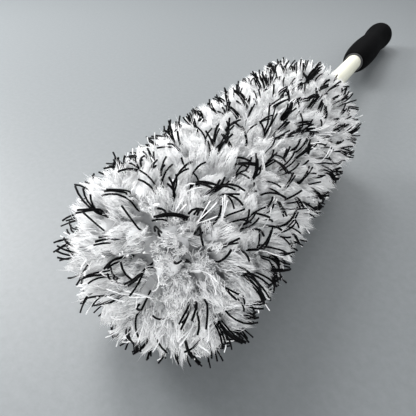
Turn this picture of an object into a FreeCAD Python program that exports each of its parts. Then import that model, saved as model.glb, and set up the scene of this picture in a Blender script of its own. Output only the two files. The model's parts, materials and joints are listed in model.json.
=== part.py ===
import FreeCAD, Part

import math
import os

from FreeCAD import Vector

# Wheel brush: a soft-grip handle and flexible shaft with a padded core, and a
# plush cover that slips over the core from the front.  Millimetres, +Z up.
#
# Every piece is first drawn about its own axis: a "station" is a distance along
# that axis, counted from the tip, and a radius is measured out from it.  Then the
# brush is laid down as it lies on a bench: tip towards -Y, handle towards +Y, the
# bulb of the grip touching the bench and the pile squashed under the head.  The
# origin is on the bench, under the middle of one of the squashed rows of pile.

# ---------------------------------------------------------------- driving sizes
total_length = 524.0
droop = 3.8                 # degrees that the axis falls from the tip to the handle

head_length = 210.0
pile_crest_radius = 43.5    # a row of pile at its fullest
pile_valley_radius = 40.0   # between two rows
dome_length = 34.0          # the rounded tip, bristles included
tip_bristle_height = 4.0    # how far they stand ahead of the pile
row_count = 8
rest_row = 6                # the row of pile that lies over the origin
groove_width = 3.0          # the line of stitching that each bristle row stands in
bristle_reach = 46.0        # radius to the ends of the bristles
bristle_radius = 0.55

shaft_radius = 7.5
shaft_bore_radius = 4.3

bulb_radius = 15.9
waist_radius = 13.7
swell_radius = 14.6
grip_front_radius = 10.3
grip_length = 158.0

foam_radius = 21.5
cover_bore_radius = 23.0
cloth_thickness = 1.2
hem_thickness = 3.6

pin_radius = 1.5
screw_radius = 2.0
gap = 0.1                   # between neighbouring pieces
pole_flat = 1.5             # the small flat in the middle of each domed piece

# ---------------------------------------------------------------- derived sizes
cover_radius = cover_bore_radius + cloth_thickness
row_pitch = (head_length - dome_length) / row_count

bumper_front = 25.4
bumper_radius = 19.5
washer_front = 33.0
core_front = 36.0
panel_front = 22.8
panel_depth = 8.2
panel_edge = panel_front + panel_depth

foam_end = head_length - 19.0
tube_end = head_length - 17.0
hem_end = head_length - 9.0
collar_flange = 3.0
collar_hub_radius = 11.5
collar_end = head_length - 6.0
collar_pin_station = head_length - 11.0

grip_front = total_length - grip_length
bulb_station = total_length - bulb_radius
liner_radius = 9.4
liner_end = 500.0
grip_pin_station = 478.0
cap_end = 504.0

slope = math.sin(math.radians(droop))
rest_middle = dome_length + (rest_row - 0.5) * row_pitch + groove_width / 2
rest_height = bulb_radius + (bulb_station - rest_middle) * slope
rest_station = rest_middle - rest_height * slope
axis_height = bulb_radius + (bulb_station - rest_station) * slope

AXIS = Vector(0, 1, 0)
SOLIDS = {}


# -------------------------------------------------------------------- geometry
def at(radius, station):
    """A point beside the brush's axis, on its right."""
    return Vector(radius, station, 0)


def rod(radius, start, end):
    return Part.makeCylinder(radius, end - start, at(0, start), AXIS)


def tube(bore, radius, start, end):
    return rod(radius, start, end).cut(rod(bore, start, end))


def cross_pin(radius, length, station):
    """A round pin through the axis, from side to side."""
    return Part.makeCylinder(radius, length, at(-length / 2, station), Vector(1, 0, 0))


def line(start, end):
    return Part.LineSegment(at(*start), at(*end)).toShape()


def arc(start, middle, end):
    return Part.Arc(at(*start), at(*middle), at(*end)).toShape()


def curve(points, first_way, last_way):
    """A smooth line through the points, with its direction set at both ends."""
    spline = Part.BSplineCurve()
    ways = [Vector(*first_way, 0), Vector(*last_way, 0)]
    spline.interpolate([at(*p) for p in points], InitialTangent=ways[0], FinalTangent=ways[1])
    return spline.toShape()


def turned(edges):
    """The solid that an outline sweeps round the brush's axis."""
    face = Part.Face(Part.Wire(edges))
    return face.revolve(at(0, 0), AXIS, 360)


def laid(shape):
    """The shape where it is when the brush lies on the bench."""
    shape = shape.copy()
    shape.translate(Vector(0, -rest_station, 0))
    shape.rotate(Vector(0, 0, 0), Vector(1, 0, 0), -droop)
    shape.translate(Vector(0, 0, axis_height))
    return shape


def above_bench(shape):
    """Squash a soft piece that is laid down: nothing of it reaches below the bench."""
    width = 4 * pile_crest_radius
    block = Part.makeBox(width, 2 * total_length, width, Vector(-width / 2, -total_length, 0))
    return shape.common(block)


def keep(name, shape, soft=False):
    """Store a node where it lies; a group of separate pieces stays a group of solids."""
    placed = [laid(solid) for solid in shape.Solids]
    if soft:
        placed = [part for solid in placed for part in above_bench(solid).Solids]
    SOLIDS[name] = placed[0] if len(placed) == 1 else Part.makeCompound(placed)


# ---------------------------------------------------------------------- handle
def make_grip():
    """Soft rubber grip: slim front, long swell, waist, and a round bulb at the end."""
    body = [
        (grip_front_radius, grip_front + 1.2),
        (13.4, grip_front + 18),
        (swell_radius, grip_front + 40),
        (14.5, grip_front + 70),
        (waist_radius, grip_front + 103),
        (15.3, grip_front + 126),
        (bulb_radius, bulb_station),
    ]
    half_round = bulb_radius * math.sqrt(0.5)
    edges = [
        line((0, grip_front), (grip_front_radius - 0.9, grip_front)),
        line((grip_front_radius - 0.9, grip_front), body[0]),
        curve(body, (0.35, 1), (0, 1)),
        arc(body[-1], (half_round, bulb_station + half_round), (0, total_length)),
        line((0, total_length), (0, grip_front)),
    ]
    socket = rod(liner_radius + gap, grip_front, cap_end + gap)
    keep("grip_sleeve", turned(edges).cut(socket))


def make_handle_core():
    """Hard liner under the grip, its end cap, and the pin that holds the shaft in it."""
    liner = tube(shaft_radius + gap, liner_radius, grip_front, liner_end)
    hole = cross_pin(pin_radius + 0.02, 4 * liner_radius, grip_pin_station)
    keep("grip_liner", liner.cut(hole))

    disc = rod(liner_radius, liner_end, cap_end)
    spigot = rod(shaft_bore_radius - gap, liner_end - 10, liner_end)
    keep("grip_end_cap", disc.fuse(spigot).removeSplitter())

    keep("grip_pin", cross_pin(pin_radius, 2 * liner_radius - 0.2, grip_pin_station))


def make_shaft():
    """Flexible ivory shaft: one tube from the tip washer to the end of the grip."""
    shaft = tube(shaft_bore_radius, shaft_radius, core_front, liner_end - 2)
    for station in (collar_pin_station, grip_pin_station):
        shaft = shaft.cut(cross_pin(pin_radius + 0.02, 4 * shaft_radius, station))
    keep("core_shaft", shaft)


def make_core():
    """The padding on the shaft and the pieces that hold it between two ends."""
    keep("foam_sleeve", tube(shaft_radius + gap, foam_radius, core_front, foam_end))

    plug_end = core_front + 30
    plug = tube(screw_radius + 0.05, shaft_bore_radius - 0.05, core_front, plug_end)
    keep("shaft_front_plug", plug)
    keep("front_washer", tube(screw_radius + 0.2, bumper_radius, washer_front, core_front))

    head_front = washer_front - 3.0
    shank = rod(screw_radius, washer_front, core_front + 22)
    head = rod(2 * screw_radius, head_front, washer_front)
    slot = Part.makeBox(10, 1.4, 1.0, at(-5, head_front) - Vector(0, 0, 0.5))
    keep("tip_screw", head.fuse(shank).removeSplitter().cut(slot))

    rim = washer_front - 1.5
    edges = [
        line((0, washer_front), (bumper_radius, washer_front)),
        line((bumper_radius, washer_front), (bumper_radius, rim)),
        arc((bumper_radius, rim), (bumper_radius * 0.62, bumper_front + 1.6),
            (pole_flat, bumper_front)),
        line((pole_flat, bumper_front), (0, bumper_front)),
        line((0, bumper_front), (0, washer_front)),
    ]
    pocket = rod(2 * screw_radius + 0.5, head_front - 0.5, washer_front)
    keep("tip_bumper", turned(edges).cut(pocket))

    flange = rod(foam_radius, foam_end, foam_end + collar_flange)
    hub = rod(collar_hub_radius, foam_end + collar_flange, collar_end)
    collar = flange.fuse(hub).removeSplitter()
    collar = collar.cut(rod(shaft_radius + gap, foam_end, collar_end))
    collar = collar.cut(cross_pin(pin_radius + 0.02, 4 * collar_hub_radius, collar_pin_station))
    keep("rear_collar", collar)
    keep("rear_collar_pin", cross_pin(pin_radius, 2 * collar_hub_radius - 0.4, collar_pin_station))


# ----------------------------------------------------------------------- cover
def make_cover_cloth():
    """The knitted cloth under the pile: tube, domed end panel, seams and gathered hem."""
    keep("cover_tube", tube(cover_bore_radius, cover_radius, panel_edge, tube_end))

    inner_front = panel_front + cloth_thickness
    outer_middle = (cover_radius * 0.66, panel_front + 0.36 * panel_depth)
    inner_middle = (cover_bore_radius * 0.66, inner_front + 0.36 * (panel_edge - inner_front))
    edges = [
        arc((cover_radius, panel_edge), outer_middle, (pole_flat, panel_front)),
        line((pole_flat, panel_front), (0, panel_front)),
        line((0, panel_front), (0, inner_front)),
        line((0, inner_front), (pole_flat, inner_front)),
        arc((pole_flat, inner_front), inner_middle, (cover_bore_radius, panel_edge)),
        line((cover_bore_radius, panel_edge), (cover_radius, panel_edge)),
    ]
    keep("cover_end_panel", turned(edges))

    seam_radius = cover_bore_radius - gap
    ring = tube(seam_radius - 0.9, seam_radius, panel_edge, panel_edge + 2)
    keep("end_panel_seam", ring)

    strip = tube(seam_radius - 0.8, seam_radius, panel_edge + 3, tube_end - 1)
    width = 6.0
    under = Part.makeBox(width, head_length, cover_radius, Vector(-width / 2, 0, -cover_radius))
    keep("cover_side_seam", strip.common(under))

    hem = tube(cover_bore_radius, cover_bore_radius + hem_thickness, tube_end + gap, hem_end)
    channel_bore = cover_bore_radius + 0.9
    channel_end = hem_end - 0.9
    channel = tube(channel_bore, channel_bore + 1.8, tube_end, channel_end)
    keep("hem_casing", hem.cut(channel))
    elastic = tube(channel_bore + gap, channel_bore + 1.8 - gap, tube_end + 1, channel_end - gap)
    keep("hem_elastic", elastic)


def row_start(number):
    """Station of the front of a row: first its groove, then its pile."""
    return dome_length + (number - 1) * row_pitch


def make_pile_row(number):
    """One ring of plush pile round the cover, fuller in its middle."""
    start = row_start(number) + groove_width
    end = row_start(number + 1)
    bore = cover_radius + gap
    middle = (start + end) / 2
    last = number == row_count
    edges = [line((bore, end), (bore, start)), line((bore, start), (pile_valley_radius, start))]
    if last:
        # the last row is rounded off behind, and wider inside to clear the hem
        full = start + 7
        shoulder = pile_crest_radius - 5
        edge = cover_bore_radius + 7
        edges.append(arc((pile_valley_radius, start), (pile_crest_radius - 0.9, start + 4),
                         (pile_crest_radius, full)))
        edges.append(curve([(pile_crest_radius, full), (shoulder, end - 4.5), (edge, end)],
                           (0, 1), (-1, 0.12)))
        edges.append(line((edge, end), (bore, end)))
    else:
        edges.append(arc((pile_valley_radius, start), (pile_crest_radius, middle),
                         (pile_valley_radius, end)))
        edges.append(line((pile_valley_radius, end), (bore, end)))
    ring = turned(edges)
    if last:
        ring = ring.cut(rod(cover_bore_radius + hem_thickness + gap, tube_end, end + 1))
    keep("pile_row_%02d" % number, ring, soft=True)


def make_pile_tip():
    """The rounded pile over the end panel."""
    depth = dome_length - tip_bristle_height
    quarter = []
    for step in range(7):
        angle = math.radians(15 * step)
        radius = pole_flat + (pile_crest_radius - pole_flat) * math.sin(angle) ** 0.8
        quarter.append((radius, dome_length - depth * math.cos(angle) ** 0.9))
    bore = cover_radius + gap
    inside = panel_front - gap
    edges = [
        line((0, tip_bristle_height), quarter[0]),
        curve(quarter, (1, 0), (0, 1)),
        line(quarter[-1], (bore, dome_length)),
        line((bore, dome_length), (bore, panel_edge)),
        arc((bore, panel_edge), (bore * 0.66, inside + 0.36 * panel_depth), (pole_flat, inside)),
        line((pole_flat, inside), (0, inside)),
        line((0, inside), (0, tip_bristle_height)),
    ]
    keep("pile_tip", turned(edges), soft=True)


# --------------------------------------------------------------------- bristles
def make_tuft(length):
    """A tuft of three bristles that fan out from one root, pointing up from the origin."""
    tuft = None
    for lean in (-11, 0, 11):
        bristle = Part.makeCylinder(bristle_radius, length)
        bristle.rotate(Vector(0, 0, 0), AXIS, lean)
        tuft = bristle if tuft is None else tuft.fuse(bristle)
    return tuft


def planted(tuft, root_radius, station, turn, tilt=0.0):
    """Stand a tuft on the brush: turn is round the axis from the top, tilt towards the tip."""
    tuft = tuft.copy()
    tuft.rotate(Vector(0, 0, 0), Vector(1, 0, 0), tilt)
    tuft.translate(Vector(0, station, root_radius))
    tuft.rotate(Vector(0, 0, 0), AXIS, turn)
    return tuft


def make_bristle_row(number, tuft):
    """A ring of stiffer black tufts that stands in the groove ahead of a row of pile."""
    tufts_round = 15
    stagger = 0.5 * (number % 2)
    station = row_start(number) + groove_width / 2
    tufts = []
    for index in range(tufts_round):
        turn = 360.0 * (index + stagger) / tufts_round
        tufts.append(planted(tuft, cover_radius + 0.3, station, turn))
    keep("bristle_row_%02d" % number, Part.makeCompound(tufts), soft=True)


def make_tip_bristles():
    """Tufts that stand in the rounded tip: one at its middle and two rings round it."""
    length = 10.0
    short = make_tuft(length)
    tufts = [planted(short, 0.0, length, 0.0, 90)]
    for count, radius, station, tilt in ((6, 17.5, 10.5, 62), (11, 32.5, 17.0, 36)):
        for index in range(count):
            tufts.append(planted(short, radius, station, 360.0 * index / count, tilt))
    keep("tip_bristles", Part.makeCompound(tufts), soft=True)


# ----------------------------------------------------------------------- build
make_grip()
make_handle_core()
make_shaft()
make_core()
make_cover_cloth()
make_pile_tip()
make_tip_bristles()
row_tuft = make_tuft(bristle_reach - cover_radius - 0.3)
for row in range(1, row_count + 1):
    make_pile_row(row)
    make_bristle_row(row, row_tuft)

os.makedirs("parts", exist_ok=True)
for node_name, solid in SOLIDS.items():
    box = solid.optimalBoundingBox(False, False)
    print("%-18s solids %2d  y %7.1f %7.1f  z %6.2f %6.2f  valid %s" % (
        node_name, len(solid.Solids), box.YMin, box.YMax, box.ZMin, box.ZMax, solid.isValid()))
    solid.exportStep("parts/%s.step" % node_name)
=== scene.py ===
import json
import math

import bpy
import numpy as np
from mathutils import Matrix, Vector


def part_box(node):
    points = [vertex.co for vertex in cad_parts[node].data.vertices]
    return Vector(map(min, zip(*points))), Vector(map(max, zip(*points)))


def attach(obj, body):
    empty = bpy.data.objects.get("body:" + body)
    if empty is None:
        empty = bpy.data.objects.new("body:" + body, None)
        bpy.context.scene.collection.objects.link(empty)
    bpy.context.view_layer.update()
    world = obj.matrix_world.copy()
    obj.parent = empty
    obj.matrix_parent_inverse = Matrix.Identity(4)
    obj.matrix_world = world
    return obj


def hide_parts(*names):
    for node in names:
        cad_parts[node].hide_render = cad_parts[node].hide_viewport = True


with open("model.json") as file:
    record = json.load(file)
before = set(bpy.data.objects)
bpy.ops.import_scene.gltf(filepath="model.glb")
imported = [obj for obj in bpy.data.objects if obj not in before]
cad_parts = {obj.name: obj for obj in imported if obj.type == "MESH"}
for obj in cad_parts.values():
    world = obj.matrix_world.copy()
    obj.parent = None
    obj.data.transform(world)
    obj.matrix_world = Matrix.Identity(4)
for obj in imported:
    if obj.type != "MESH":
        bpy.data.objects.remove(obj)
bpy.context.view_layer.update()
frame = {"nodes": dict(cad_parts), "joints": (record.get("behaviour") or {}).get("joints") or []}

# A plush wheel brush: black soft grip, ivory shaft, and a fat white pile head with
# bunches of black bristles.  Metres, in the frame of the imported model.  Everything
# random is seeded.
#
# The brush lies on a bench with its axis a little off level, so every piece is first
# made about its own axis, as in a drawing: x sideways, y the station from the tip, and
# z away from the bench.  on_bench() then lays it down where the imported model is.

MM = 0.001


# ------------------------------------------------------------ sizes, from the frame
def corners_of(name):
    mesh = frame["nodes"][name].data
    flat = np.empty(len(mesh.vertices) * 3, np.float32)
    mesh.vertices.foreach_get("co", flat)
    return flat.reshape(-1, 3).astype(float)


cover_slide = next(joint for joint in frame["joints"] if joint["name"] == "cover_slide")
REARWARD = -np.array(cover_slide["axis"]) / np.linalg.norm(cover_slide["axis"])
SIDEWAYS = np.array([1.0, 0.0, 0.0])
WAYS = np.stack([SIDEWAYS, REARWARD, np.cross(SIDEWAYS, REARWARD)])
shaft_middle = sum((np.array(corner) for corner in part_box("core_shaft")), np.zeros(3)) / 2
TIP_POINT = shaft_middle + REARWARD * ((corners_of("tip_bristles") - shaft_middle) @ REARWARD).min()


def on_bench(points):
    """From the brush's own drawing to where it lies."""
    return TIP_POINT + points @ WAYS


def in_drawing(name):
    """A node's corners, as drawn about the brush's axis."""
    return (corners_of(name) - TIP_POINT) @ WAYS.T


def span(name):
    """First and last station of a node."""
    station = in_drawing(name)[:, 1]
    return station.min(), station.max()


def reach(name, of=max):
    """Greatest distance of a node from the axis, or its least."""
    points = in_drawing(name)
    return of(np.hypot(points[:, 0], points[:, 2]))


SHAFT_R = reach("core_shaft")
CLOTH_R = reach("cover_tube")
CLOTH_BORE = reach("cover_tube", min)
FOAM_R = reach("foam_sleeve")
CREST_R = reach("pile_row_01")
ROW_COUNT = sum(name.startswith("pile_row_") for name in frame["nodes"])
ROWS = ["%02d" % number for number in range(1, ROW_COUNT + 1)]

TIP, DOME_END = span("pile_tip")
PANEL_FRONT, PANEL_EDGE = span("cover_end_panel")
TUBE_END = span("cover_tube")[1]
HEM_START, HEM_END = span("hem_casing")
HEM_R = reach("hem_casing")
ROW_ENDS = [DOME_END] + [span("pile_row_" + row)[1] for row in ROWS]
HEAD_END = ROW_ENDS[-1]

PILE_R = CREST_R - 2.0 * MM         # the white surface; bristles stand proud of it
REAR_ROUND = 24 * MM                # the pile rounds off over this length behind
REAR_HOLE_R = SHAFT_R + 3.0 * MM    # it closes in nearly to the shaft
BENCH_GAP = 0.4 * MM                # left between the squashed pile and the bench
BENCH_SOFTNESS = 5 * MM             # the pile starts to give this far above the bench
SQUASH_SPREAD = 0.35                # how much squashed pile spreads sideways
SQUASH_LIMIT = 0.4                  # share of the head's radius past which it spreads no more


# --------------------------------------------------------------------- materials
def new_material(name, roughness):
    material = bpy.data.materials.new(name)
    material.use_nodes = True
    shader = material.node_tree.nodes["Principled BSDF"]
    shader.inputs["Roughness"].default_value = roughness
    return material, material.node_tree, shader


def add(tree, kind, **values):
    node = tree.nodes.new(kind)
    for key, value in values.items():
        if key in node.inputs:
            node.inputs[key].default_value = value
        else:
            setattr(node, key, value)
    return node


def ramp(tree, factor, stops):
    node = tree.nodes.new("ShaderNodeValToRGB")
    while len(node.color_ramp.elements) < len(stops):
        node.color_ramp.elements.new(0.5)
    for element, (place, colour) in zip(node.color_ramp.elements, stops):
        element.position = place
        element.color = (*colour, 1)
    tree.links.new(factor, node.inputs["Fac"])
    return node.outputs["Color"]


def noise(tree, scale, detail=3.0, roughness=0.5):
    """Noise over the piece's own place in the frame; scale is in lumps per metre."""
    where = tree.nodes.new("ShaderNodeTexCoord")
    node = add(tree, "ShaderNodeTexNoise", Scale=scale, Detail=detail, Roughness=roughness)
    tree.links.new(where.outputs["Object"], node.inputs["Vector"])
    return node.outputs["Fac"]


def bump(tree, shader, height, distance, strength=0.5):
    node = add(tree, "ShaderNodeBump", Strength=strength, Distance=distance)
    tree.links.new(height, node.inputs["Height"])
    tree.links.new(node.outputs["Normal"], shader.inputs["Normal"])


def fibre_material(name, stops, roughness, tone_swing, sheen=0.0):
    """Colour runs from root to tip of each fibre, and each tuft has its own tone. On the white pile
    the darker roots are painted shade deep in the pile.
    """
    material, tree, shader = new_material(name, roughness)
    along = add(tree, "ShaderNodeAttribute", attribute_name="along")
    tone = add(tree, "ShaderNodeAttribute", attribute_name="tone")
    base = ramp(tree, along.outputs["Fac"], stops)
    shade = add(tree, "ShaderNodeMapRange")
    tree.links.new(tone.outputs["Fac"], shade.inputs["Value"])
    shade.inputs["To Min"].default_value = 1 - tone_swing
    shade.inputs["To Max"].default_value = 1
    scaled = add(tree, "ShaderNodeVectorMath", operation="SCALE")
    tree.links.new(base, scaled.inputs[0])
    tree.links.new(shade.outputs["Result"], scaled.inputs["Scale"])
    tree.links.new(scaled.outputs["Vector"], shader.inputs["Base Color"])
    shader.inputs["Sheen Weight"].default_value = sheen
    shader.inputs["Sheen Roughness"].default_value = 0.5
    return material


# painted shade: on the white pile the stops run from dark grey at the root to white at the tip, for
# the shade deep down in the pile
WHITE = fibre_material(
    "white_pile",
    [(0.0, (0.26, 0.265, 0.27)), (0.22, (0.62, 0.625, 0.63)),
     (0.5, (0.92, 0.925, 0.93)), (1.0, (0.95, 0.95, 0.952))],
    roughness=0.85, tone_swing=0.08, sheen=0.1)
BLACK = fibre_material(
    "black_bristle",
    [(0.0, (0.002, 0.002, 0.0025)), (0.9, (0.003, 0.003, 0.0035)), (1.0, (0.006, 0.006, 0.007))],
    roughness=0.55, tone_swing=0.3)
BLACK.node_tree.nodes["Principled BSDF"].inputs["Specular IOR Level"].default_value = 0.06


# ------------------------------------------------------------------ camera and stage
EYE = TIP_POINT + np.array([65.0, -41.0, 113.0]) * MM       # the camera, from the head's tip
AIM = TIP_POINT + np.array([-5.5, 77.5, -10.0]) * MM
SENSOR, LENS = 36, 31.15                                    # millimetres
BENCH_SIZE = 2.2
WORLD_COLOUR = (0.86, 0.93, 1.0, 1)
WORLD_LIGHT = 0.22                  # what the world lights with
WORLD_SEEN = 0.60                   # how pale the room looks behind the bench
LIGHTS_AIM = (0, -0.05, 0.02)
LIGHTS = [                          # name, place, size across, watts
    ("left", (-0.95, -0.05, 0.60), 0.45, 12.2),
    ("key", (-0.62, 0.34, 0.98), 0.5, 10.6),
    ("behind", (-0.15, 0.90, 0.75), 0.8, 3.0),
    ("right", (0.85, 0.25, 0.70), 0.8, 3.0),
    ("front", (0.35, -0.90, 0.40), 0.8, 8.5),
    ("top", (-0.10, 0.10, 1.20), 0.8, 1.5),
]


def put(holder, place, way):
    """Puts a camera or a lamp at a place, looking a way."""
    holder.location = place
    holder.rotation_euler = way.to_track_quat("-Z", "Y").to_euler()
    bpy.context.scene.collection.objects.link(holder)


def make_camera():
    """Low over the tip, looking along the brush towards the handle."""
    camera = bpy.data.cameras.new("camera")
    camera.sensor_width = SENSOR
    camera.lens = LENS
    camera.clip_start = 0.01
    holder = bpy.data.objects.new("camera", camera)
    put(holder, EYE, Vector(AIM - EYE))
    bpy.context.scene.camera = holder


def make_bench():
    """A plain pale blue-grey bench top with a slight gloss."""
    material, tree, shader = new_material("bench_top", 0.5)
    shade = ramp(tree, noise(tree, 260, 5, 0.7),
                 [(0.3, (0.182, 0.195, 0.202)), (0.7, (0.206, 0.220, 0.227))])
    tree.links.new(shade, shader.inputs["Base Color"])
    bump(tree, shader, noise(tree, 900, 2), 0.2 * MM, 0.2)
    bpy.ops.mesh.primitive_plane_add(size=BENCH_SIZE, location=(0, 0, 0))
    bench = bpy.context.object
    bench.name = "bench_top"
    bench.data.materials.append(material)


def add_light(name, place, size, power):
    lamp = bpy.data.lights.new(name, "AREA")
    lamp.shape = "DISK"
    lamp.size = size
    lamp.energy = power
    put(bpy.data.objects.new(name, lamp), place, Vector(LIGHTS_AIM) - Vector(place))


def make_lights():
    """Six round lamps, and a pale world that looks brighter to the camera than it lights."""
    world = bpy.data.worlds.new("studio")
    bpy.context.scene.world = world
    world.use_nodes = True
    tree = world.node_tree
    background = tree.nodes["Background"]
    background.inputs["Color"].default_value = WORLD_COLOUR
    rays = tree.nodes.new("ShaderNodeLightPath")
    paler = add(tree, "ShaderNodeMapRange")
    paler.inputs["To Min"].default_value = WORLD_LIGHT
    paler.inputs["To Max"].default_value = WORLD_SEEN
    tree.links.new(rays.outputs["Is Camera Ray"], paler.inputs["Value"])
    tree.links.new(paler.outputs["Result"], background.inputs["Strength"])
    for light in LIGHTS:
        add_light(*light)
    bpy.context.scene.view_settings.view_transform = "Standard"


# ---------------------------------------------------------------- shape of the head
# behind the tube's end, less this, the pile is rooted just off the hem
CASING_NEAR = 2 * MM
CASING_CLEAR = 0.5 * MM


def head_profile():
    """Radius and station of the pile's surface, and of the cloth under it, tip to rear."""
    turn = np.radians(np.linspace(0, 90, 31))
    depth = DOME_END - TIP
    parts = [(PILE_R * np.sin(turn) ** 0.8, DOME_END - depth * np.cos(turn) ** 0.9,
              CLOTH_R * np.sin(turn), PANEL_EDGE - (PANEL_EDGE - PANEL_FRONT) * np.cos(turn))]
    rear = HEAD_END - REAR_ROUND
    side = np.linspace(DOME_END, rear, 80)[1:]
    parts.append((np.full_like(side, PILE_R), side, np.full_like(side, CLOTH_R), side))
    back = turn[1:]
    root = rear + (HEM_END - rear) * np.sin(back)
    parts.append((REAR_HOLE_R + (PILE_R - REAR_HOLE_R) * np.cos(back) ** 0.75,
                  rear + REAR_ROUND * np.sin(back),
                  np.where(root > TUBE_END - CASING_NEAR, HEM_R + CASING_CLEAR, CLOTH_R),
                  root))
    return [np.concatenate(column) for column in zip(*parts)]


SURFACE_R, SURFACE_Y, ROOT_R, ROOT_Y = head_profile()
surface_steps = np.hypot(np.diff(SURFACE_R), np.diff(SURFACE_Y))
SURFACE_A = np.concatenate([[0], np.cumsum(surface_steps)])     # distance from the pole
SURFACE_LENGTH = SURFACE_A[-1]


def around(radius, station, turn):
    """Points in the drawing, at a turn about the axis from straight up."""
    return np.stack([radius * np.sin(turn), station, radius * np.cos(turn)], -1)


def site(distance, turn):
    """Of places on the head: the surface point, the cloth point under it, and the ways out,
    rearward and sideways."""
    distance = np.clip(distance, 0, SURFACE_LENGTH)
    radius = np.interp(distance, SURFACE_A, SURFACE_R)
    station = np.interp(distance, SURFACE_A, SURFACE_Y)
    root_radius = np.interp(distance, SURFACE_A, ROOT_R)
    root_station = np.interp(distance, SURFACE_A, ROOT_Y)
    surface = around(radius, station, turn)
    root = around(root_radius, root_station, turn)
    out = surface - root
    out /= np.linalg.norm(out, axis=-1, keepdims=True)
    side = np.stack([np.cos(turn), np.zeros_like(turn), -np.sin(turn)], -1)
    back = np.cross(out, side)
    return surface, root, out, back, side


def settled(points):
    """Laid on the bench: what would reach below it is squashed and spreads a little sideways."""
    points = on_bench(points)
    low = np.minimum(points[..., 2] - BENCH_GAP - BENCH_SOFTNESS, 0)
    raised = BENCH_GAP + BENCH_SOFTNESS * np.exp(low / BENCH_SOFTNESS)
    squashed = points.copy()
    squashed[..., 2] = np.where(low < 0, raised, points[..., 2])
    lifted = (squashed[..., 2] - points[..., 2]) / CREST_R
    squashed[..., 0] *= 1 + SQUASH_SPREAD * np.clip(lifted, 0, SQUASH_LIMIT)
    return squashed


# ------------------------------------------------------------------------- meshes
def mesh_piece(name, corners, faces, material, values=None):
    """A smooth mesh from an array of corners and a list of face arrays, one for each face size."""
    mesh = bpy.data.meshes.new(name)
    mesh.vertices.add(len(corners))
    mesh.vertices.foreach_set("co", corners.astype(np.float32).ravel())
    totals = np.concatenate([np.full(len(f), f.shape[1]) for f in faces])
    loops = np.concatenate([f.ravel() for f in faces])
    mesh.loops.add(len(loops))
    mesh.loops.foreach_set("vertex_index", loops.astype(np.int32))
    mesh.polygons.add(len(totals))
    starts = np.concatenate([[0], np.cumsum(totals)[:-1]])
    mesh.polygons.foreach_set("loop_start", starts.astype(np.int32))
    mesh.polygons.foreach_set("loop_total", totals.astype(np.int32))
    mesh.polygons.foreach_set("use_smooth", np.full(len(totals), True))
    for key, value in (values or {}).items():
        layer = mesh.attributes.new(key, "FLOAT", "POINT")
        layer.data.foreach_set("value", value.astype(np.float32))
    mesh.update(calc_edges=True)
    mesh.validate()
    mesh.materials.append(material)
    piece = bpy.data.objects.new(name, mesh)
    bpy.context.scene.collection.objects.link(piece)
    return piece


def strands(paths, radii, sides, rng, pointed=False):
    """Closed strands along paths (count, points, 3): corners, faces, and how far along its strand
    each corner is."""
    count, points = paths.shape[:2]
    ways = np.gradient(paths, axis=1)
    ways /= np.maximum(np.linalg.norm(ways, axis=2, keepdims=True), 1e-12)
    spare = rng.normal(size=(count, 1, 3))
    across = np.cross(ways, spare)
    across /= np.maximum(np.linalg.norm(across, axis=2, keepdims=True), 1e-12)
    other = np.cross(ways, across)
    angle = np.arange(sides) * 2 * math.pi / sides
    rings = points - 1 if pointed else points
    ring = (np.cos(angle)[:, None] * across[:, :rings, None]
            + np.sin(angle)[:, None] * other[:, :rings, None])
    body = paths[:, :rings, None] + radii[:, :rings, None, None] * ring
    corners = body.reshape(count, rings * sides, 3)
    along = np.broadcast_to(np.linspace(0, 1, points)[:rings, None], (count, rings, sides))
    along = along.reshape(count, rings * sides)
    each = rings * sides + pointed          # corners of one strand
    if pointed:
        corners = np.concatenate([corners, paths[:, -1:]], 1)
        along = np.concatenate([along, np.ones((count, 1))], 1)
    first = (np.arange(count) * each)[:, None, None]
    index = first + np.arange(rings * sides).reshape(rings, sides)
    beside = np.roll(index, -1, 2)
    walls = np.stack([index[:, :-1], beside[:, :-1], beside[:, 1:], index[:, 1:]], -1).reshape(-1, 4)
    faces = [walls, index[:, 0, ::-1]]
    if pointed:
        apex = np.broadcast_to(first[:, 0] + each - 1, (count, sides))
        faces.append(np.stack([index[:, -1], beside[:, -1], apex], -1).reshape(-1, 3))
    else:
        faces.append(index[:, -1])
    return corners.reshape(-1, 3), faces, along.ravel()


def joined(parts):
    """Several (corners, faces, along, tone) as one."""
    corners, faces, along, tone, shift = [], {}, [], [], 0
    for part_corners, part_faces, part_along, part_tone in parts:
        for face in part_faces:
            faces.setdefault(face.shape[1], []).append(face + shift)
        corners.append(part_corners)
        along.append(part_along)
        tone.append(part_tone)
        shift += len(part_corners)
    return (np.concatenate(corners), [np.concatenate(f) for f in faces.values()],
            np.concatenate(along), np.concatenate(tone))


# ------------------------------------------------------------------------- tufts
GATHER_SEED, TUFT_SEED, PILE_SEED, BRISTLE_SEED = 8, 23, 100, 300
TUFT_SPACING = 11.0 * MM
TUFT_SIZES = (0.72, 1.25)   # least and most, as shares of the spacing
POLE_TUFT = 1.3             # the one at the pole, likewise
TUFT_REACH = 0.62           # a tuft's radius, as a share of its size
TUFT_LEAN = 1.5 * MM
FIBRE_DENSITY = 7.0         # fibres for each square millimetre of a tuft's radius squared
LOCKS = 16                  # pointed locks that a tuft's fibres gather into
STRAY_SHARE = 0.03          # fibres that stand out on their own
FIBRE_THICK, STRAY_THICK = (0.13, 0.20), 0.10           # radii in millimetres
FOOT_SPREAD, TOP_SPREAD, BOW = 0.5, 0.80, 0.32          # across a tuft, as shares of its radius

# heights of the pile in millimetres
CROWN_RISE, RIM_DROP = 8.0, 5.0     # a tuft's middle above its rim; its rim below the surface
ROOT_DEEP = (6.5, 10)               # where fibres start below the surface
VALLEY_DEPTH, BODY_DOME = 11.5, 7.0     # the dense body: its depth between tufts, and its rise in one
BODY_GRID = 1.1 * MM
BODY_TURNS = 240

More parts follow.
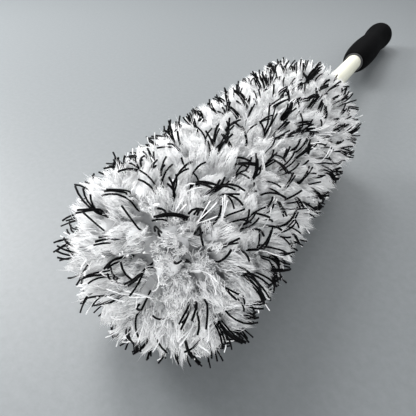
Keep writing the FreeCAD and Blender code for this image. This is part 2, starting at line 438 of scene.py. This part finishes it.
# places towards the tip where the pile is drawn in
GATHER_COUNT = 9
GATHER_ZONE = (0.10, 0.32)          # shares of the way from the tip to the rear
GATHER_WIDTH = 8 * MM
GATHER_LEAN = 3.6 * MM              # how far the tufts beside a dip lean away from it
GATHER_BODY, GATHER_FIBRES = 5.0, 5.5       # how deep it draws the body and the fibres, in mm
gather_rng = np.random.default_rng(GATHER_SEED)
GATHERS = site(gather_rng.uniform(*GATHER_ZONE, GATHER_COUNT) * SURFACE_LENGTH,
               gather_rng.uniform(0, 2 * math.pi, GATHER_COUNT))[0]


def scatter(rng):
    """Places spread evenly but at random over the head, and the size of the tuft at each."""
    tries = 12000
    steps = np.linspace(0, SURFACE_LENGTH, 400)
    share = np.cumsum(np.interp(steps, SURFACE_A, SURFACE_R) + 0.5 * MM)
    distance = np.interp(rng.uniform(share[0], share[-1], tries), share, steps)
    turn = rng.uniform(0, 2 * math.pi, tries)
    size = TUFT_SPACING * rng.uniform(*TUFT_SIZES, tries)
    distance[0], size[0] = 2 * MM, POLE_TUFT * TUFT_SPACING
    surface = site(distance, turn)[0]
    kept = np.zeros(tries, int)
    count = 0
    for index in range(tries):
        near = kept[:count]
        apart = np.linalg.norm(surface[near] - surface[index], axis=1)
        if not count or (apart > 0.5 * (size[near] + size[index])).all():
            kept[count] = index
            count += 1
    kept = kept[:count]
    return distance[kept], turn[kept], size[kept]


def gather_pull(points):
    """For points near the surface: how much the pile is drawn in there, from 0 to 1, and the way
    out of the dip."""
    pull = np.zeros(len(points))
    away = np.zeros_like(points)
    for centre in GATHERS:
        offset = points - centre
        apart = np.linalg.norm(offset, axis=1)
        strength = np.exp(-(apart / GATHER_WIDTH) ** 2)
        pull = np.maximum(pull, strength)
        fading = np.exp(-(apart / (1.6 * GATHER_WIDTH)) ** 2)
        away += offset / np.maximum(apart, 1e-6)[:, None] * fading[:, None]
    return pull, away


def make_tufts():
    """Where the tufts stand, which way they lean, and how far out in each its locks are."""
    rng = np.random.default_rng(TUFT_SEED)
    distance, turn, size = scatter(rng)
    surface, root, out, back, side = site(distance, turn)
    count = len(distance)
    pull, away = gather_pull(surface)
    lean = rng.normal(0, TUFT_LEAN, (count, 2))
    lean[:, 0] += GATHER_LEAN * (away * back).sum(1)
    lean[:, 1] += GATHER_LEAN * (away * side).sum(1)
    way = rng.uniform(0, 2 * math.pi, (count, LOCKS))
    far = np.sqrt((np.arange(LOCKS) + rng.uniform(0, 1, (count, LOCKS))) / LOCKS)
    return {
        "distance": distance, "surface": surface, "out": out, "back": back, "side": side,
        "lean": lean, "size": TUFT_REACH * size, "tone": rng.uniform(0, 1, count), "pull": pull,
        "lock": np.stack([far * np.cos(way), far * np.sin(way)], -1),
        "lock_rise": rng.normal(0, 1.0 * MM, (count, LOCKS)),
    }


def lumps(tufts, where):
    """Height from 0 in a valley to 1 on a tuft's crown, for points near the surface."""
    height = np.zeros(len(where))
    block = 4000            # points at a time, to spare memory
    for start in range(0, len(where), block):
        apart = where[start:start + block, None] - tufts["surface"][None]
        gap = np.linalg.norm(apart, axis=2) / tufts["size"][None]
        height[start:start + block] = np.clip(1 - gap.min(1) ** 2, 0, 1) ** 0.6
    return height


def head_body(first, last, tufts):
    """The dense mass of pile between two distances: lumpy outside, closed inside by the cloth. It is
    painted with shade: grey in the valleys between tufts and on its inside, paler on the crowns.
    """
    rows = max(6, int((last - first) / BODY_GRID))
    distance = np.linspace(max(first, 0.3 * MM), last, rows)
    turn = np.arange(BODY_TURNS) * 2 * math.pi / BODY_TURNS
    grid_d, grid_t = np.meshgrid(distance, turn, indexing="ij")
    surface, root, out, _, _ = site(grid_d.ravel(), grid_t.ravel())
    height = lumps(tufts, surface)
    depth = (VALLEY_DEPTH - BODY_DOME * height + GATHER_BODY * gather_pull(surface)[0]) * MM
    crust = surface - out * depth[:, None]
    inner = root + out * 0.2 * MM
    shell = np.concatenate([crust.reshape(rows, BODY_TURNS, 3),
                            inner.reshape(rows, BODY_TURNS, 3)[::-1]])
    index = np.arange(2 * rows * BODY_TURNS).reshape(2 * rows, BODY_TURNS)
    beside = np.roll(index, -1, 1)
    ring = first > 0        # the piece at the pole is a cap, closed by two flat ends
    upper = np.roll(index, -1, 0) if ring else index[1:]
    upper_beside = np.roll(beside, -1, 0) if ring else beside[1:]
    lower = index if ring else index[:-1]
    lower_beside = beside if ring else beside[:-1]
    faces = [np.stack([lower, lower_beside, upper_beside, upper], -1).reshape(-1, 4)]
    if not ring:
        faces += [index[:1], index[-1:, ::-1]]
    # painted shade: low on the white ramp in the valleys between tufts and lowest on the inside,
    # higher on the crowns
    along = np.concatenate([0.04 + 0.5 * height, np.zeros(len(height))])
    return settled(shell.reshape(-1, 3)), faces, along, np.full(len(along), 0.5)


def tuft_fibres(chosen, tufts, rng):
    """Fine white fibres: each tuft splays from a narrow root, and its fibres meet in locks."""
    size = tufts["size"][chosen]
    pick = np.repeat(chosen, np.maximum((FIBRE_DENSITY * (size / MM) ** 2).astype(int), 8))
    count = len(pick)
    lock = rng.integers(0, LOCKS, count)
    size = tufts["size"][pick]
    out, back, side = tufts["out"][pick], tufts["back"][pick], tufts["side"][pick]

    def flat(pair):
        return pair[:, :1] * back + pair[:, 1:] * side

    place = tufts["lock"][pick, lock]
    spread = np.linalg.norm(place, axis=1)
    stray = rng.uniform(0, 1, count) < STRAY_SHARE
    crown = (1 - spread ** 2) * CROWN_RISE * MM - RIM_DROP * MM + tufts["lock_rise"][pick, lock]
    crown += rng.normal(0, 0.5 * MM, count) + stray * rng.uniform(1.0, 4.0, count) * MM
    crown -= GATHER_FIBRES * MM * tufts["pull"][pick]
    lean = tufts["lean"][pick]
    surface = tufts["surface"][pick]
    start_off = place * FOOT_SPREAD * size[:, None] + rng.normal(0, 0.7 * MM, (count, 2))
    start = surface - out * rng.uniform(*ROOT_DEEP, count)[:, None] * MM + flat(start_off)
    end_off = place * TOP_SPREAD * size[:, None] + lean + rng.normal(0, 0.45 * MM, (count, 2))
    end = surface + out * crown[:, None] + flat(end_off)
    bow = flat(place * BOW * size[:, None]) - flat(lean) * 0.25
    bow = bow + rng.normal(0, 0.8 * MM, (count, 3))
    share = np.linspace(0, 1, 4)[None, :, None]
    paths = start[:, None] * (1 - share) + end[:, None] * share
    paths = paths + bow[:, None] * 4 * share * (1 - share)
    paths += rng.normal(0, 0.4 * MM, paths.shape) * share       # a slight kink
    thick = np.where(stray, STRAY_THICK, rng.uniform(*FIBRE_THICK, count)) * MM
    radii = np.stack([thick, thick, thick * 0.8, thick * 0.2], 1)
    corners, faces, along = strands(settled(paths), radii, 3, rng, pointed=True)
    tone = np.repeat(tufts["tone"][pick], len(corners) // count)
    # painted shade: the roots start near the dark grey bottom of the white ramp
    return corners, faces, 0.08 + 0.92 * along, tone


PART_LENGTH = 25 * MM
WHITE_BUNDLES = 20          # bundles of thicker white strands in each part
WHITE_LENGTH = 10.0         # millimetres
WHITE_THICK = 0.22 * MM     # their radius


def row_limits():
    """(name, first distance, last distance) of the tip and of every row."""
    cuts = [float(np.interp(station, SURFACE_Y, SURFACE_A)) for station in ROW_ENDS[:-1]]
    cuts = [0.0] + cuts + [SURFACE_LENGTH]
    return list(zip(["tip"] + ROWS, cuts[:-1], cuts[1:]))


def make_white_pile(tufts):
    """White pile of the tip and of every row, with some thicker white strands among it.
    Long rows are cut in parts, so that no mesh is too big to export whole."""
    for number, (name, first, last) in enumerate(row_limits()):
        rng = np.random.default_rng(PILE_SEED + number)
        node = "pile_tip" if name == "tip" else "pile_row_" + name
        cuts = np.linspace(first, last, math.ceil((last - first) / PART_LENGTH) + 1)
        for part, (start, end) in enumerate(zip(cuts[:-1], cuts[1:])):
            chosen = np.flatnonzero((tufts["distance"] >= start) & (tufts["distance"] < end))
            parts = [head_body(start, end, tufts), tuft_fibres(chosen, tufts, rng)]
            paths = scattered_bundles(start, end, WHITE_BUNDLES, (1, 4), WHITE_LENGTH, rng)
            parts.append(strand_mesh(paths, WHITE_THICK, rng, 0.8))
            corners, faces, along, tone = joined(parts)
            piece = mesh_piece(f"{node}_fibres_{part + 1}", corners, faces, WHITE,
                               {"along": along, "tone": tone})
            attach(piece, "cover")
            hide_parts(node)


# ----------------------------------------------------------------------- bristles
# near the tip they are long and lean every way; towards the rear short, stiff and upright
BUNDLES = 84                # in a row
LONG_BUNCHES = 12           # more on the tip, fewer with each row behind it
LONG_LENGTH = 14.0          # millimetres
TIP_LENGTH, SHORTER = 11.0, 2.0     # the longest on the tip, and how much less at the rear
TIP_THICK, THICKER = 0.37, 0.09     # radius on the tip, and how much more at the rear
MOST_LEAN = 1.25            # radians from straight out
FANS, FAN_ODDS = [0.06, 0.18, 0.4], [0.4, 0.35, 0.25]       # how far a bundle splays, and how often
GOLDEN_TURN = 2.399963


def bundle(distance, turn, count, tallest, rng):
    """Paths of one bundle of strands from a common root, which curve over together."""
    place = site(np.array([distance]), np.array([turn]))
    surface, root, out, back, side = [part[0] for part in place]
    lean_way = rng.uniform(0, 2 * math.pi)
    rearward = distance / SURFACE_LENGTH
    lean = rng.uniform(0.25 - 0.15 * rearward, MOST_LEAN - 0.4 * rearward)
    fan = rng.choice(FANS, p=FAN_ODDS)
    neck_depth = (4.6 - 2.4 * lean / MOST_LEAN) * MM        # where it comes out of the pile
    neck = surface - out * neck_depth
    sway = rng.normal(0, 0.9 - 0.6 * rearward)
    fan_way = rng.uniform(0, 2 * math.pi)
    steps = np.linspace(0, 1, 5)[:, None]
    paths = []
    for number in range(count):
        share = number / (count - 1) * 2 - 1 if count > 1 else 0.0
        turned = lean_way + (sway + rng.normal(0, 0.12)) * steps
        tilt = np.clip(lean + rng.normal(0, 0.06) + (steps - 0.5) * (0.8 - 0.4 * rearward), 0, 1.4)
        way = np.cos(tilt) * out + np.sin(tilt) * (np.cos(turned) * back + np.sin(turned) * side)
        way += share * fan * (math.cos(fan_way) * back + math.sin(fan_way) * side)
        way /= np.linalg.norm(way, axis=1, keepdims=True)
        proud = rng.uniform(2.5, 6.5 + 1.5 * rearward) * MM
        rise = max(float((way @ out).mean()), 0.05)
        length = min(rng.uniform(0.65, 1.0) * tallest * MM, (proud + neck_depth) / rise)
        foot = root + (back * rng.normal() + side * rng.normal()) * 0.6 * MM
        middle = (way[1:] + way[:-1]) / 2 * length / (len(steps) - 1)
        upper = neck + np.concatenate([np.zeros((1, 3)), np.cumsum(middle, 0)])
        upper += (back * rng.normal() + side * rng.normal()) * 0.8 * MM
        paths.append(np.concatenate([foot[None], (foot + upper[0])[None] / 2, upper]))
    return paths


def scattered_bundles(first, last, bundles, sizes, tallest, rng):
    """Bundles at random round one row; on the tip they are spread over the whole cap."""
    paths = []
    for index in range(bundles):
        turn = (index + rng.uniform(-0.45, 0.45)) * 2 * math.pi / bundles
        distance = first + rng.uniform(-0.15, 0.85) * (last - first)
        if first == 0:
            distance = last * math.sqrt((index + 0.6) / bundles)
            turn = index * GOLDEN_TURN + rng.uniform(-0.3, 0.3)
        distance = min(max(distance, 1 * MM), SURFACE_LENGTH - 8 * MM)
        paths += bundle(distance, turn, int(rng.integers(*sizes)), tallest, rng)
    return paths


def strand_mesh(paths, thick, rng, whiteness=0.0):
    """Round strands of about one thickness; whiteness is how far up the colour ramp they start."""
    paths = settled(np.array(paths))
    radii = thick * rng.uniform(0.88, 1.12, (len(paths), 1)) * np.ones((1, paths.shape[1]))
    corners, faces, along = strands(paths, radii, 6, rng)
    along = whiteness + (1 - whiteness) * along
    tone = np.repeat(rng.uniform(0, 1, len(paths)), paths.shape[1] * 6)
    return corners, faces, along, tone


def make_bristles():
    """Black bristles of the tip and of every row."""
    for number, (name, first, last) in enumerate(row_limits()):
        rng = np.random.default_rng(BRISTLE_SEED + number)
        rearward = number / ROW_COUNT
        strands_each = (1, 4 + round(2 * rearward))
        paths = scattered_bundles(first, last, BUNDLES, strands_each,
                                   TIP_LENGTH - SHORTER * rearward, rng)
        longer = round(LONG_BUNCHES * (1 - rearward) ** 4)
        paths += scattered_bundles(first, last, longer, (3, 5), LONG_LENGTH, rng)
        corners, faces, along, tone = strand_mesh(paths, (TIP_THICK + THICKER * rearward) * MM, rng)
        node = "tip_bristles" if name == "tip" else "bristle_row_" + name
        piece = mesh_piece(node + "_strands", corners, faces, BLACK,
                           {"along": along, "tone": tone})
        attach(piece, "cover")
        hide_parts(node)


# ---------------------------------------------------------------- foam, cloth and hem
def turned_piece(node, loop, shift, material, turns, middle=0.0, width=None):
    """A soft piece turned about the axis from a closed loop of (radius, station).
    shift(radius, station, turn) is how far its surface stands off the loop.
    width is its arc, about a middle turn, if it doesn't go all round."""
    loop = np.array(loop)
    if width is None:
        turn = np.arange(turns) * 2 * math.pi / turns
    else:
        turn = middle + np.linspace(-width / 2, width / 2, turns)
    radius, turn = np.meshgrid(loop[:, 0], turn, indexing="ij")
    station = np.broadcast_to(loop[:, 1:], radius.shape)
    corners = around(radius + shift(radius, station, turn), station, turn)
    index = np.arange(radius.size).reshape(radius.shape)
    over = np.roll(index, -1, 0)
    if width is None:
        quads = np.stack([index, np.roll(index, -1, 1), np.roll(over, -1, 1), over], -1)
        faces = [quads.reshape(-1, 4)]
    else:
        quads = np.stack([index[:, :-1], index[:, 1:], over[:, 1:], over[:, :-1]], -1)
        faces = [quads.reshape(-1, 4), index[::-1, -1:].T, index[:, :1].T]
    piece = mesh_piece(node + "_soft", on_bench(corners.reshape(-1, 3)), faces, material)
    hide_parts(node)
    return piece


def layers(outer, inner):
    """A closed loop from an outer and an inner line of (radius, station), both front to back."""
    return np.concatenate([outer, inner[::-1]])


def line(radius, first, last, count):
    """Points of one radius, from the first station to the last."""
    station = np.linspace(first, last, count)
    return np.stack([np.full(count, radius), station], 1)


def make_foam():
    """Open-celled foam with soft edges and shallow dents, as it comes off the shaft."""
    first, last = span("foam_sleeve")
    edge = 3 * MM
    outer = line(FOAM_R, first, last, 120)
    inset = np.minimum(outer[:, 1] - first, last - outer[:, 1])
    outer[:, 0] -= edge - np.sqrt(edge ** 2 - np.clip(edge - inset, 0, edge) ** 2)
    inner = line(reach("foam_sleeve", min), first, last, 12)

    def dents(radius, station, turn):
        broad = np.sin(3 * turn + 90 * station) * np.sin(2 * turn - 150 * station + 1)
        fine = 0.6 * np.sin(7 * turn + 240 * station + 2) * np.sin(5 * turn - 310 * station)
        outside = radius > SHAFT_R + 2 * MM
        return np.where(outside, -0.45 * MM * np.clip(broad + fine + 0.2, 0, 2), 0)

    material = simple_material("core_foam", (0.20, 0.21, 0.22), (0.36, 0.37, 0.39), 900, 0.95,
                               relief=0.8)
    foam = turned_piece("foam_sleeve", layers(outer, inner), dents, material, 144)
    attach(foam, "handle")
    return foam


WALES = 72                  # ribs round the knitted tube
COURSE = 5.9 * MM           # length of one course of the knit
SKIN = 0.9 * MM             # thickness of the folded hem
FOLDS = 30                  # gathers round the hem
WINDING = 2 * MM            # pitch of the ridges on the elastic


def knit(radius, station, turn):
    """Wales along the tube and courses round it."""
    relief = 0.11 * np.cos(WALES * turn) + 0.07 * np.cos(station * 2 * math.pi / COURSE)
    sag = 0.12 * np.sin(5 * turn + 60 * station)
    return (relief - 0.18 + sag) * MM


def make_cover_cloth(foam):
    """Knitted backing tube with its end panel and seam tapes, and a gathered hem over an elastic."""
    cloth = simple_material("cover_cloth", (0.62, 0.63, 0.64), (0.76, 0.77, 0.78), 1100, 0.92,
                            relief=0.3)
    tape = simple_material("seam_tape", (0.55, 0.56, 0.57), (0.68, 0.69, 0.70), 1600, 0.85,
                           relief=0.2)
    band = simple_material("hem_elastic", (0.60, 0.60, 0.58), (0.72, 0.72, 0.70), 2000, 0.7,
                           relief=0.3)
    wall = CLOTH_R - CLOTH_BORE
    outer = line(CLOTH_R, PANEL_EDGE, TUBE_END, 110)
    inner = line(CLOTH_BORE + 0.3 * MM, PANEL_EDGE, TUBE_END, 110)
    tube = turned_piece("cover_tube", layers(outer, inner), knit, cloth, 288)

    def dome(radius, front):
        turn = np.radians(np.linspace(0, 90, 24))
        return np.stack([np.maximum(radius * np.sin(turn), 0.3 * MM),
                         PANEL_EDGE - (PANEL_EDGE - front) * np.cos(turn)], 1)

    def puckers(radius, station, turn):
        return -0.15 * MM * np.cos(24 * turn) * radius / CLOTH_R - 0.1 * MM

    outer, inner = dome(CLOTH_R, PANEL_FRONT), dome(CLOTH_BORE, PANEL_FRONT + wall)
    panel = turned_piece("cover_end_panel", layers(outer, inner), puckers, cloth, 144)

    outside = np.concatenate([line(CLOTH_BORE, HEM_START, HEM_END - 0.5 * MM, 8),
                              [[CLOTH_BORE + 0.5 * MM, HEM_END], [HEM_R - 0.6 * MM, HEM_END]],
                              line(HEM_R, HEM_START, HEM_END - 0.6 * MM, 8)[::-1]])
    inside = np.concatenate([line(CLOTH_BORE + SKIN, HEM_START, HEM_END - SKIN, 6),
                             line(HEM_R - SKIN, HEM_START, HEM_END - SKIN, 6)[::-1]])

    def folds(radius, station, turn):
        gather = 0.5 + 0.5 * np.cos(FOLDS * turn + 1.6 * np.sin(3 * turn) + 60 * (station - HEM_END))
        return -0.4 * MM * gather * (radius > HEM_R - 0.3 * MM) - 0.05 * MM

    hem = turned_piece("hem_casing", layers(outside, inside), folds, cloth, 360)
    first, last = span("hem_elastic")
    low, high = reach("hem_elastic", min), reach("hem_elastic")

    def windings(radius, station, turn):
        ridge = 1 + np.cos(2 * math.pi * (station - first) / WINDING)
        return -0.12 * MM * (radius > low + 0.5 * MM) * ridge

    loop = layers(line(high, first, last, 13), line(low, first, last, 13))
    elastic = turned_piece("hem_elastic", loop, windings, band, 180)
    pieces = [tube, panel, hem, elastic]
    for node, arc in (("end_panel_seam", None), ("cover_side_seam", 3.2 * MM / CLOTH_BORE)):
        seam_first, seam_last = span(node)
        seam_low, seam_high = reach(node, min), reach(node)

        def ribs(radius, station, turn, top=seam_high):
            stitch = 1 + np.cos(2 * math.pi * station / (3 * MM)) * np.cos(60 * turn)
            return -0.1 * MM * (radius > top - 0.2 * MM) * stitch

        loop = layers(line(seam_high, seam_first, seam_last, 90),
                      line(seam_low + 0.1 * MM, seam_first, seam_last, 90))
        turns = 120 if arc is None else 9
        pieces.append(turned_piece(node, loop, ribs, tape, turns, math.pi, arc))
    for piece in pieces:
        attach(piece, "cover")


# ------------------------------------------------------------------ handle and core
def rubber_material():
    """Dull black moulded rubber with a fine grain."""
    material, tree, shader = new_material("grip_rubber", 0.68)
    shader.inputs["Specular IOR Level"].default_value = 0.02
    shade = ramp(tree, noise(tree, 300, 3),
                 [(0.3, (0.002, 0.002, 0.002)), (0.7, (0.0035, 0.0035, 0.004))])
    tree.links.new(shade, shader.inputs["Base Color"])
    bump(tree, shader, noise(tree, 2600, 2), 0.15 * MM, 0.5)
    return material


def shaft_material():
    """Ivory plastic with a soft gloss."""
    material, tree, shader = new_material("shaft_plastic", 0.38)
    shade = ramp(tree, noise(tree, 60, 3),
                 [(0.3, (0.84, 0.825, 0.68)), (0.7, (0.89, 0.875, 0.74))])
    tree.links.new(shade, shader.inputs["Base Color"])
    bump(tree, shader, noise(tree, 500, 3), 0.1 * MM, 0.15)
    return material


def simple_material(name, low, high, scale, roughness, metallic=0.0, relief=0.1):
    """Mottled between two colours; scale is in mottles per metre and relief in millimetres."""
    material, tree, shader = new_material(name, roughness)
    shade = ramp(tree, noise(tree, scale, 3), [(0.3, low), (0.7, high)])
    tree.links.new(shade, shader.inputs["Base Color"])
    shader.inputs["Metallic"].default_value = metallic
    bump(tree, shader, noise(tree, scale * 3, 2), relief * MM, 0.3)
    return material


def dress(material, *nodes):
    """Gives CAD nodes a material; their meshes stay as they are."""
    for name in nodes:
        data = frame["nodes"][name].data
        data.materials.clear()
        data.materials.append(material)


def dress_frame():
    """Materials of the pieces that are shown as the CAD has them."""
    dress(rubber_material(), "grip_sleeve")
    dress(shaft_material(), "core_shaft")
    dress(simple_material("liner_plastic", (0.04, 0.04, 0.045), (0.06, 0.06, 0.065), 200, 0.5),
          "grip_liner", "grip_end_cap", "shaft_front_plug", "front_washer", "rear_collar")
    dress(simple_material("pin_steel", (0.5, 0.5, 0.52), (0.62, 0.62, 0.64), 700, 0.3, 1.0),
          "grip_pin", "tip_screw", "rear_collar_pin")
    dress(simple_material("bumper_rubber", (0.02, 0.02, 0.02), (0.03, 0.03, 0.032), 500, 0.6),
          "tip_bumper")


# ------------------------------------------------------------------------- build
make_camera()
make_bench()
make_lights()
head_tufts = make_tufts()
make_white_pile(head_tufts)
make_bristles()
make_cover_cloth(make_foam())
dress_frame()
